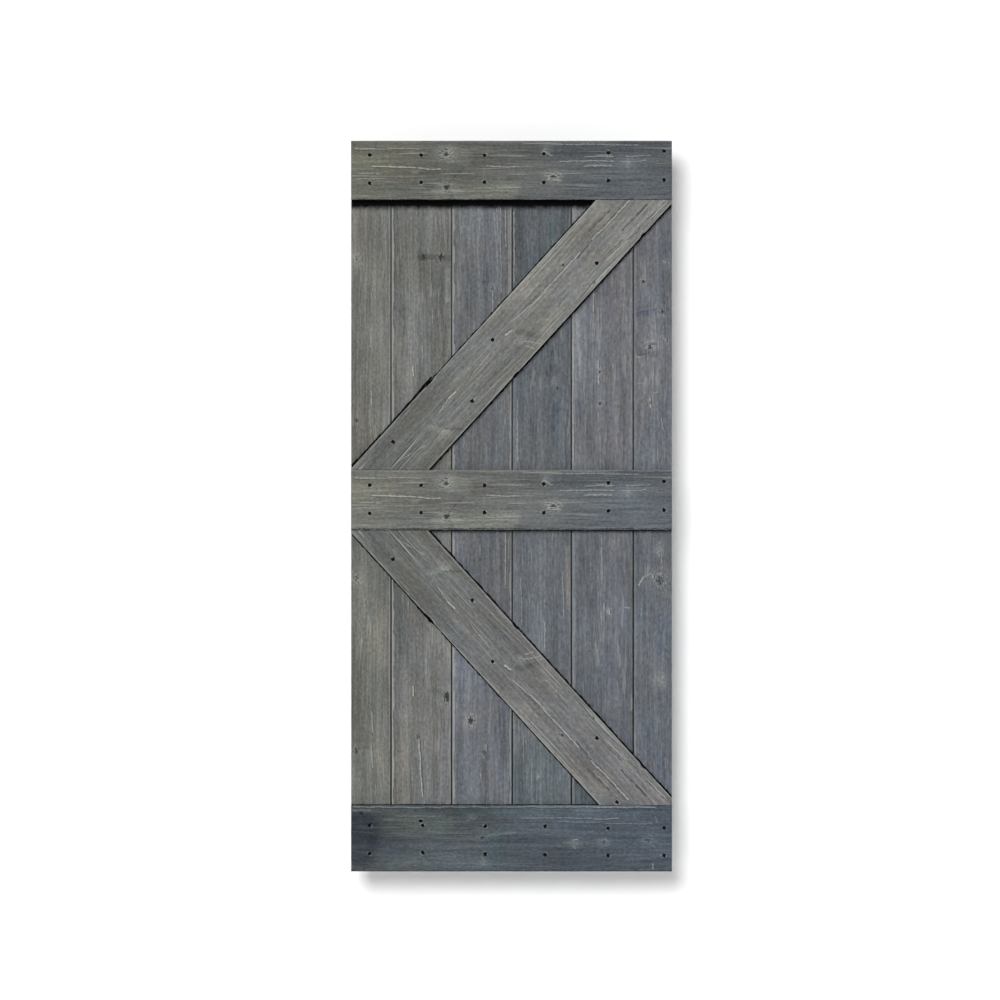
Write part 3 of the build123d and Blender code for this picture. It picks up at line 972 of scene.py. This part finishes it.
# %% [markdown]
# A plank carries many knots, strokes and tints, so small helpers go through its
# tables and add up what they mark. Others measure the plank: where its flat
# face ends, how long its grain is, and how near the closest screw lies. Masks
# are joined by their larger value, so that no place grows darker than its
# darkest mark.

# %% Finish helpers
STROKE_RAGGEDNESS = 4.5
BESIDE_SHARE = 0.7
TINT_RAGGEDNESS = 0.7


def face_edges(plank):
    """Where the plank's flat face begins and ends across the grain."""
    low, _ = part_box(plank.node)
    front = [v.co for v in nodes[plank.node].data.vertices if abs(v.co.y - low.y) < TOUCH]
    spans = [(co - plank.origin).dot(plank.across) for co in front]
    return min(spans), max(spans)


def grain_length(plank):
    """How far the plank reaches along its grain."""
    return max((v.co - plank.origin).dot(plank.along) for v in nodes[plank.node].data.vertices)


def scaled(wires, value, amount):
    """A value of 0 to 1 turned into a factor about 1."""
    return wires.times_plus(wires.less(value, 0.5), amount, 1.0)


def darken(wires, colour, factor):
    """Multiplies a colour by a number."""
    return wires.blend(1.0, colour, wires.join(factor, factor, factor), how="MULTIPLY")


def most_of(wires, first, second):
    """The larger of two masks, where the first may still be nothing."""
    return second if first is None else wires.larger(first, second)


def add_knots(wires, flat, crumble, knots):
    """Adds up how the knots push the grain and what they mark."""
    push = dark = pale = None
    for centre, radius, spread, darkness, paleness in knots:
        made = use_group(
            wires, "Knot", Place=flat, Centre=centre, Radius=radius, Spread=spread, Crumble=crumble
        )
        push = made["Push"] if push is None else wires.plus(push, made["Push"])
        dark = most_of(wires, dark, wires.times(made["Core"], darkness))
        specks = wires.times(made["Specks"], 0.7)
        glow = wires.times_plus(made["Halo"], 0.34, specks)
        pale = most_of(wires, pale, wires.times(glow, paleness))
    return push, dark, pale


def add_strokes(wires, flat, crumble, strokes):
    """Adds up the pale splinters, the dark lines and the painted shadow beside each splinter."""
    pale = dark = None
    for start, end, half, power in strokes:
        made = stroke(wires, flat, start, end, half, crumble, STROKE_RAGGEDNESS)
        if power > 0:
            pale = most_of(wires, pale, wires.times(made["Mask"], power))
            # The strip beside a pale splinter is its painted shadow.
            dark = most_of(wires, dark, wires.times(made["Beside"], BESIDE_SHARE * power))
        else:
            dark = most_of(wires, dark, wires.times(made["Mask"], -power))
    return pale, dark


def add_tints(wires, flat, crumble, tints, colour):
    """Multiplies the colour by each tint where it lies."""
    for start, end, half, tint in tints:
        mask = stroke(wires, flat, start, end, half, crumble, TINT_RAGGEDNESS)["Mask"]
        colour = wires.blend(mask, colour, wires.blend(1.0, colour, (*tint, 1.0), how="MULTIPLY"))
    return colour


def screw_gap(wires, plank, flat):
    """Distance from the nearest screw's middle, across the face."""
    nearest = None
    for place in screws[plank.node]:
        offset = place - plank.origin
        gap = wires.vector("DISTANCE", flat, (offset.dot(plank.along), 0.0, offset.dot(plank.across)))
        nearest = gap if nearest is None else wires.math("MINIMUM", nearest, gap)
    return nearest


print("finish helpers ready")

# %% [markdown]
# Now the finish itself. The stain shifts from one tone to another along the plank, and tints shift it in
# places. Patches, streaks, rings, fibres and flecks darken and lighten it. Splinters and strokes add their
# pale and dark lines, some of them painted highlight and painted shadow, and knots their cores. Edges add
# their wear, with a painted highlight on those that face the lamp. Dirt and painted shade cover the seams
# and screw seats, and painted shade the corners beside the battens. The fibres, flecks and splinters,
# added up as a height, give the bump.

# %% Weathered finish
GRAIN_WEIGHTS = {"Patch": 1.0, "Streak": 0.9, "Ring": 0.12, "Fibre": 0.85, "Fleck": 1.2}
STROKE_WANDER = 9 * MM
HUE_SHIFT = 0.024
STAIN_TRAVEL = {"board": 1.0, "rail": 1.0, "brace": 0.6}
GROOVE_AND_SHADOW_SHARE = {"board": 1.0, "rail": 1.0, "brace": 1.6}
STROKE_PALE, STROKE_DARK = 0.75, 0.7
KNOT_PALE, KNOT_DARK = 0.5, 0.8
DARKEST_SHADE = 0.15
CRUMBLE_CELLS = (110.0, 60.0, 260.0)
BROAD_CELLS = (18.0, 20.0, 36.0)
TORN_RIM = (10.5 * MM, 6.2 * MM)
SEAT_SHADE_RIM = (6.2 * MM, 4.8 * MM)
END_SHADE = 0.8
WOOD_SHINE = 0.04
WOOD_BUMP = 0.8
WOOD_RELIEF = 0.9 * MM
SPLINTER_LENGTH = {"board": 0.07, "rail": 0.16, "brace": 0.24}
SPLINTER_SHARE = {"board": 0.2, "rail": 0.36, "bottom_rail": 0.12, "brace": 0.44}


def weathered(plank):
    """The whole finish of one plank."""
    material, shader, wires = new_finish("weathered_" + plank.node)
    kind = plank.node.split("_")[-1]
    is_board = kind == "board"
    low_edge, high_edge = face_edges(plank)
    pale_and_highlight = SILVER_PINE_AND_HIGHLIGHT if plank.node == "bottom_rail" else BARE_PINE_AND_HIGHLIGHT

    space = use_group(wires, "Plank Space", Origin=plank.origin, Grain=plank.along, Face=plank.across)
    along, depth, across = space["Along"], space["Depth"], space["Across"]
    own = wires.join(along, depth, across)
    flat = wires.join(along, 0.0, across)
    seed_place = wires.vector("ADD", own, (plank.seed * 1.7, 0.0, plank.seed * 2.9))
    crumble = wires.noise(seed_place, CRUMBLE_CELLS, detail=2.0, roughness=0.6)
    broad = wires.noise(seed_place, BROAD_CELLS, detail=2.0, roughness=0.6)

    push, knot_dark, knot_pale = add_knots(wires, flat, crumble, plank.marks.knots)
    bent = wires.join(along, depth, wires.less(across, push))
    grain = use_group(wires, "Pine Grain", Place=own, Bent_Place=bent, Seed=float(plank.seed))
    splinters = use_group(
        wires,
        "Splinters",
        Place=own,
        Seed=float(plank.seed),
        Length=SPLINTER_LENGTH[kind],
        Crowding=0.0 if is_board else 0.06,
    )
    wander = wires.times(wires.less(broad, 0.5), STROKE_WANDER)
    wandering = wires.join(along, 0.0, wires.plus(across, wander))
    stroke_pale, stroke_dark = add_strokes(wires, wandering, crumble, plank.marks.strokes)

    travel = wires.ease(along, 0.0, grain_length(plank) * STAIN_TRAVEL[kind])
    tone = wires.blend(travel, *plank.stains)
    warm = wires.blend(1.0, tone, (1 + HUE_SHIFT, 1.0, 1 - HUE_SHIFT, 1.0), how="MULTIPLY")
    cool = wires.blend(1.0, tone, (1 - HUE_SHIFT, 1.0, 1 + HUE_SHIFT, 1.0), how="MULTIPLY")
    tone = wires.blend(wires.ease(grain["Hue"], 0.35, 0.65), warm, cool)
    colour = add_tints(wires, flat, broad, plank.marks.tints, tone)

    shade = 1.0
    for layer, weight in GRAIN_WEIGHTS.items():
        shade = wires.times(shade, scaled(wires, grain[layer], weight))
    colour = darken(wires, colour, wires.larger(shade, DARKEST_SHADE))

    splinter_share = SPLINTER_SHARE.get(plank.node, SPLINTER_SHARE[kind])
    # Pale marks: rubbed wood, partly a painted highlight on splinters and on some rail arrises.
    pale = wires.times(splinters["Pale"], splinter_share)
    pale = wires.larger(pale, wires.times(stroke_pale, STROKE_PALE))
    pale = wires.larger(pale, wires.times(knot_pale, KNOT_PALE))
    # Dark marks: cracks and knot cores, with painted shadow beside splinters and painted shade along rail
    # edges.
    dark = wires.times(splinters["Dark"], splinter_share * GROOVE_AND_SHADOW_SHARE[kind])
    dark = wires.larger(dark, wires.times(stroke_dark, STROKE_DARK))
    dark = wires.larger(dark, wires.times(knot_dark, KNOT_DARK))
    colour = wires.blend(pale, colour, pale_and_highlight)
    colour = wires.blend(dark, colour, DARK_MARKS_AND_SHADE)

    arris = use_group(
        wires,
        "Arris",
        Place=own,
        Crumble=broad,
        Low_Edge=low_edge,
        High_Edge=high_edge,
        Low_Wear=plank.wear[0],
        High_Wear=plank.wear[1],
        Low_Seam=plank.seams[0],
        High_Seam=plank.seams[1],
    )
    # Worn arrises, with a painted highlight on the edges that face the lamp.
    colour = wires.blend(arris["Wear"], colour, pale_and_highlight)
    # Dirt and painted shade in the seams, stronger towards the plank's start.
    dirt_and_shade = wires.times(arris["Dirt And Shade"], wires.times_plus(travel, -0.35, 0.9))
    if is_board:
        # Painted shade beside the rails and braces, with a painted shadow band under the top rail.
        batten_shade = use_group(wires, "Painted Batten Shade", Amount=1.0)["Dirt And Shade"]
        dirt_and_shade = wires.larger(dirt_and_shade, batten_shade)
    else:
        gap = screw_gap(wires, plank, flat)
        torn = wires.times(wires.ease(gap, *TORN_RIM), wires.ease(crumble, 0.52, 0.6))
        colour = wires.blend(wires.times(torn, 0.5), colour, pale_and_highlight)
        # Dirt and painted shade in and round each screw seat.
        ring = wires.times_plus(wires.less(crumble, 0.5), 5 * MM, gap)
        dirt_and_shade = wires.larger(dirt_and_shade, wires.ease(ring, *SEAT_SHADE_RIM))
    # All of this is mixed towards black, as dirt and painted shade.
    colour = wires.blend(dirt_and_shade, colour, DIRT_AND_SHADE_BLACK)

    facing = wires.vector(
        "DOT_PRODUCT", wires.node("ShaderNodeNewGeometry").outputs["Normal"], plank.along
    )
    is_end = wires.ease(wires.math("ABSOLUTE", facing), 0.75, 0.85)
    heart = (low_edge + high_edge) / 2 + 0.02 * math.sin(plank.seed * 2.0)
    ends = use_group(wires, "End Grain", Place=own, Heart_Across=heart, Seed=float(plank.seed))
    end_colour = darken(wires, darken(wires, tone, END_SHADE), scaled(wires, ends["Rings"], 0.5))
    end_colour = wires.blend(wires.times(ends["Checks"], 0.7), end_colour, DARK_MARKS_AND_SHADE)
    colour = wires.blend(is_end, colour, end_colour)
    wires.feed(shader.inputs["Base Color"], colour)

    rough = wires.times_plus(grain["Streak"], -0.18, 0.92)
    rough = wires.times_plus(pale, -0.1, rough)
    wires.feed(shader.inputs["Roughness"], rough)
    shader.inputs["Specular IOR Level"].default_value = WOOD_SHINE

    height = wires.times(grain["Fibre"], 0.55)
    height = wires.times_plus(grain["Fleck"], 0.35, height)
    height = wires.times_plus(splinters["Pale"], 0.2, height)
    height = wires.times_plus(splinters["Dark"], -0.3, height)
    add_bump(wires, shader, height, WOOD_BUMP, WOOD_RELIEF)
    return material


for plank in planks:
    solid = nodes[plank.node]
    solid.data.materials.clear()
    solid.data.materials.append(weathered(plank))
print(len(planks), "planks finished")

# %% [markdown]
# The screws are black wood screws with a trumpet head and a cross recess. One
# is modelled: its outline is spun about its axis, and the cross is cut into the
# head as a real pit. Copies are joined into one mesh for each rail or brace,
# and each copy is turned at its own angle, as driven screws are.

# %% Screw mesh
HEAD_RADIUS = 4.0 * MM
HEAD_RIM = 0.35 * MM
TRUMPET_DEPTH = 2.6 * MM
SHANK_RADIUS = 1.9 * MM
SCREW_LENGTH = 32.0 * MM
TIP_LENGTH = 5.0 * MM
HEAD_SINK = 1.2 * MM
CROSS_REACH = 2.4 * MM
CROSS_HALF_WIDTH = 0.55 * MM
CROSS_DEPTH = 1.7 * MM
CROSS_TAPER = 0.45
ROUND_STEPS = 28
TRUMPET_STEPS = 5


def trumpet_outline():
    """Radius and depth of the screw below its rim, from head to point."""
    points = []
    for step in range(TRUMPET_STEPS + 1):
        share = step / TRUMPET_STEPS
        radius = SHANK_RADIUS + (HEAD_RADIUS - SHANK_RADIUS) * (1 - share) ** 1.8
        points.append((radius, HEAD_RIM + TRUMPET_DEPTH * share))
    points.append((SHANK_RADIUS, SCREW_LENGTH - TIP_LENGTH))
    points.append((SHANK_RADIUS * 0.5, SCREW_LENGTH - TIP_LENGTH * 0.4))
    return points


def cross_outline():
    """Corners of the cross recess in the head's plane."""
    reach, half = CROSS_REACH, CROSS_HALF_WIDTH
    quarter = [(reach, -half), (reach, half), (half, half)]
    corners = []
    for turn in range(4):
        cosine, sine = round(math.cos(turn * math.pi / 2)), round(math.sin(turn * math.pi / 2))
        corners += [(x * cosine - z * sine, x * sine + z * cosine) for x, z in quarter]
    return corners


def loop_of(mesh, points, depth):
    """A closed loop of vertices and edges at one depth."""
    made = [mesh.verts.new((x, depth, z)) for x, z in points]
    edges = [mesh.edges.new((a, b)) for a, b in zip(made, made[1:] + made[:1])]
    return made, edges


def skin(mesh, first, second):
    """Quads between two loops with as many vertices."""
    for i in range(len(first)):
        j = (i + 1) % len(first)
        mesh.faces.new((first[i], first[j], second[j], second[i]))


def circle(radius):
    """Points round a circle."""
    turns = [2 * math.pi * step / ROUND_STEPS for step in range(ROUND_STEPS)]
    return [(radius * math.cos(turn), radius * math.sin(turn)) for turn in turns]


def add_screw(mesh, place, turn):
    """Adds one screw, its head's top sunk below the given place."""
    first = len(mesh.verts)
    rim, rim_edges = loop_of(mesh, circle(HEAD_RADIUS - HEAD_RIM / 2), 0.0)
    cross, cross_edges = loop_of(mesh, cross_outline(), 0.0)
    bmesh.ops.triangle_fill(mesh, edges=rim_edges + cross_edges, use_beauty=True)
    floor_points = [(x * CROSS_TAPER, z * CROSS_TAPER) for x, z in cross_outline()]
    pit, _ = loop_of(mesh, floor_points, CROSS_DEPTH)
    skin(mesh, cross, pit)
    mesh.faces.new(pit)
    previous = rim
    for radius, depth in [(HEAD_RADIUS, HEAD_RIM / 2)] + trumpet_outline():
        ring, _ = loop_of(mesh, circle(radius), depth)
        skin(mesh, previous, ring)
        previous = ring
    point = mesh.verts.new((0, SCREW_LENGTH, 0))
    for i in range(ROUND_STEPS):
        mesh.faces.new((previous[i], previous[(i + 1) % ROUND_STEPS], point))
    mesh.verts.ensure_lookup_table()
    cosine, sine = math.cos(turn), math.sin(turn)
    for vertex in mesh.verts[first:]:
        x, y, z = vertex.co
        turned = Vector((x * cosine - z * sine, y + HEAD_SINK, x * sine + z * cosine))
        vertex.co = place + turned


print("screw outline:", len(trumpet_outline()), "rings")

# %% [markdown]
# The screws' black is a coating on steel: dull, nearly black, and rubbed to
# brown in places. A fine noise drives its colour, its roughness and a slight
# bump, and no more would show at this size. No wood shares it, so it needs no
# group of its own.

# %% Screw finish
GRIME_CELLS = (900.0, 900.0, 900.0)
BLACK_SHINE = 0.06
COAT_BUMP = 0.3
COAT_RELIEF = 0.1 * MM
TURN_STEP = 2.399
SHARP_ANGLE = math.radians(35)


def black_phosphate():
    """Dull black metal with a trace of brown where the coating has rubbed."""
    material, shader, wires = new_finish("black_phosphate")
    place = wires.node("ShaderNodeTexCoord").outputs["Object"]
    grime = wires.noise(place, GRIME_CELLS, detail=3.0)
    coat = wires.blend(wires.ease(grime, 0.35, 0.7), stain(6, 6, 7), stain(13, 12, 11))
    wires.feed(shader.inputs["Base Color"], coat)
    wires.feed(shader.inputs["Roughness"], wires.times_plus(grime, 0.3, 0.45))
    shader.inputs["Specular IOR Level"].default_value = BLACK_SHINE
    shader.inputs["Metallic"].default_value = 0.0
    add_bump(wires, shader, grime, COAT_BUMP, COAT_RELIEF)
    return material


screw_finish = black_phosphate()
for name, places in screws.items():
    mesh = bmesh.new()
    for number, place in enumerate(places):
        add_screw(mesh, place, number * TURN_STEP)
    bmesh.ops.recalc_face_normals(mesh, faces=mesh.faces)
    data = bpy.data.meshes.new(name + "_screws")
    mesh.to_mesh(data)
    mesh.free()
    piece = add_object(data.name, data)
    data.materials.append(screw_finish)
    data.shade_smooth()
    data.set_sharp_from_angle(angle=SHARP_ANGLE)
    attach(piece, "root")
    print(f"{piece.name}: {len(places)} screws, {len(data.polygons)} faces")

# %% [markdown]
# The leaf hangs close in front of a white wall, where it drops a soft shadow to
# the right and below, over a pale floor. The wall is there for the camera alone
# and only from the front, so it doesn't hide the door's back in other views,
# and the lamps shine through it.

# %% Wall and floor
WALL_GAP = 0.11
WALL_HALF = 7.0
FLOOR_DROP = 0.47
FLOOR_HALF = 9.0
WALL_SHARE = 0.95
WALL_GLOW = 0.08
FLOOR_SHARE = 0.72
FLOOR_GLOW = 0.3


def sheet(name, corners):
    """One flat face."""
    data = bpy.data.meshes.new(name)
    data.from_pydata(corners, [], [tuple(range(len(corners)))])
    made = add_object(name, data)
    return made


def seen_directly(wires):
    """1 for camera, glossy and transmission rays, and 0 for all others."""
    path = wires.node("ShaderNodeLightPath").outputs
    reflected = wires.larger(path["Is Glossy Ray"], path["Is Transmission Ray"])
    return wires.larger(path["Is Camera Ray"], reflected)


def backdrop_finish(name, colour_share, glow, one_sided):
    """White paint that keeps shadows, lifted to white where it is seen directly."""
    material, shader, wires = new_finish(name)
    end = material.node_tree.nodes["Material Output"]
    place = wires.node("ShaderNodeTexCoord").outputs["Object"]
    speckle = wires.noise(place, (40.0, 40.0, 40.0), detail=2.0)
    level = wires.times_plus(speckle, 0.01, colour_share)
    wires.feed(shader.inputs["Base Color"], wires.join(level, level, level))
    shader.inputs["Roughness"].default_value = 0.9
    shader.inputs["Specular IOR Level"].default_value = 0.0
    shader.inputs["Emission Color"].default_value = (1, 1, 1, 1)
    wires.feed(shader.inputs["Emission Strength"], wires.times(seen_directly(wires), glow))
    if one_sided:
        front = wires.less(1.0, wires.node("ShaderNodeNewGeometry").outputs["Backfacing"])
        solid = wires.times(front, wires.node("ShaderNodeLightPath").outputs["Is Camera Ray"])
        mixer = wires.node("ShaderNodeMixShader")
        wires.feed(mixer.inputs[0], solid)
        wires.feed(mixer.inputs[1], wires.node("ShaderNodeBsdfTransparent").outputs[0])
        wires.feed(mixer.inputs[2], shader.outputs[0])
        wires.feed(end.inputs["Surface"], mixer.outputs[0])
    return material


wall_y = cad_high.y + WALL_GAP
floor_z = cad_low.z - FLOOR_DROP
SQUARE = ((-1, -1), (1, -1), (1, 1), (-1, 1))
wall = sheet("wall", [(x * WALL_HALF, wall_y, floor_z + (z + 1) * WALL_HALF) for x, z in SQUARE])
wall.data.materials.append(backdrop_finish("white_wall", WALL_SHARE, WALL_GLOW, True))
floor = sheet("floor", [(x * FLOOR_HALF, y * FLOOR_HALF, floor_z) for x, y in SQUARE])
floor.data.materials.append(backdrop_finish("pale_floor", FLOOR_SHARE, FLOOR_GLOW, False))
print(f"wall {WALL_GAP * 1000:.0f} mm behind the door, floor {FLOOR_DROP * 1000:.0f} mm below it")

# %% [markdown]
# The main lamp is a broad sun from the upper left of the viewer, which gives
# short soft shadows under the rails, and the sky fills them to under a third.
# A weaker lamp behind lights the back and the right side for the other views.
# Together they light the front to about 1, so colours render as mixed.

# %% Light
KEY_FROM = Vector((-0.26, -1.0, 0.42))
KEY_SHARE = 0.70
BACK_FROM = Vector((0.75, 0.8, 0.65))
BACK_SHARE = 0.5
SKY_SHARE = 0.28
LAMP_ANGLE = math.radians(27)


def sun(name, toward, share, faces):
    """A sun that lights a surface facing the given way to this share of white."""
    data = bpy.data.lights.new(name, "SUN")
    data.angle = LAMP_ANGLE
    data.energy = share * math.pi / toward.normalized().dot(faces)
    lamp = add_object(name, data)
    lamp.rotation_mode = "QUATERNION"
    lamp.rotation_quaternion = toward.to_track_quat("Z", "Y")


sun("key_lamp", KEY_FROM, KEY_SHARE, Vector((0, -1, 0)))
sun("back_lamp", BACK_FROM, BACK_SHARE, Vector((0, 1, 0)))

world = bpy.data.worlds.new("studio")
bpy.context.scene.world = world
world.use_nodes = True
sky = Wires(world.node_tree)
sky_node = world.node_tree.nodes["Background"]
sky_node.inputs["Color"].default_value = (1, 1, 1, 1)
lift = sky.times_plus(seen_directly(sky), 1.0 - SKY_SHARE, SKY_SHARE)
sky.feed(sky_node.inputs["Strength"], lift)
bpy.context.scene.view_settings.view_transform = "Standard"
print("front lit to", KEY_SHARE + SKY_SHARE)
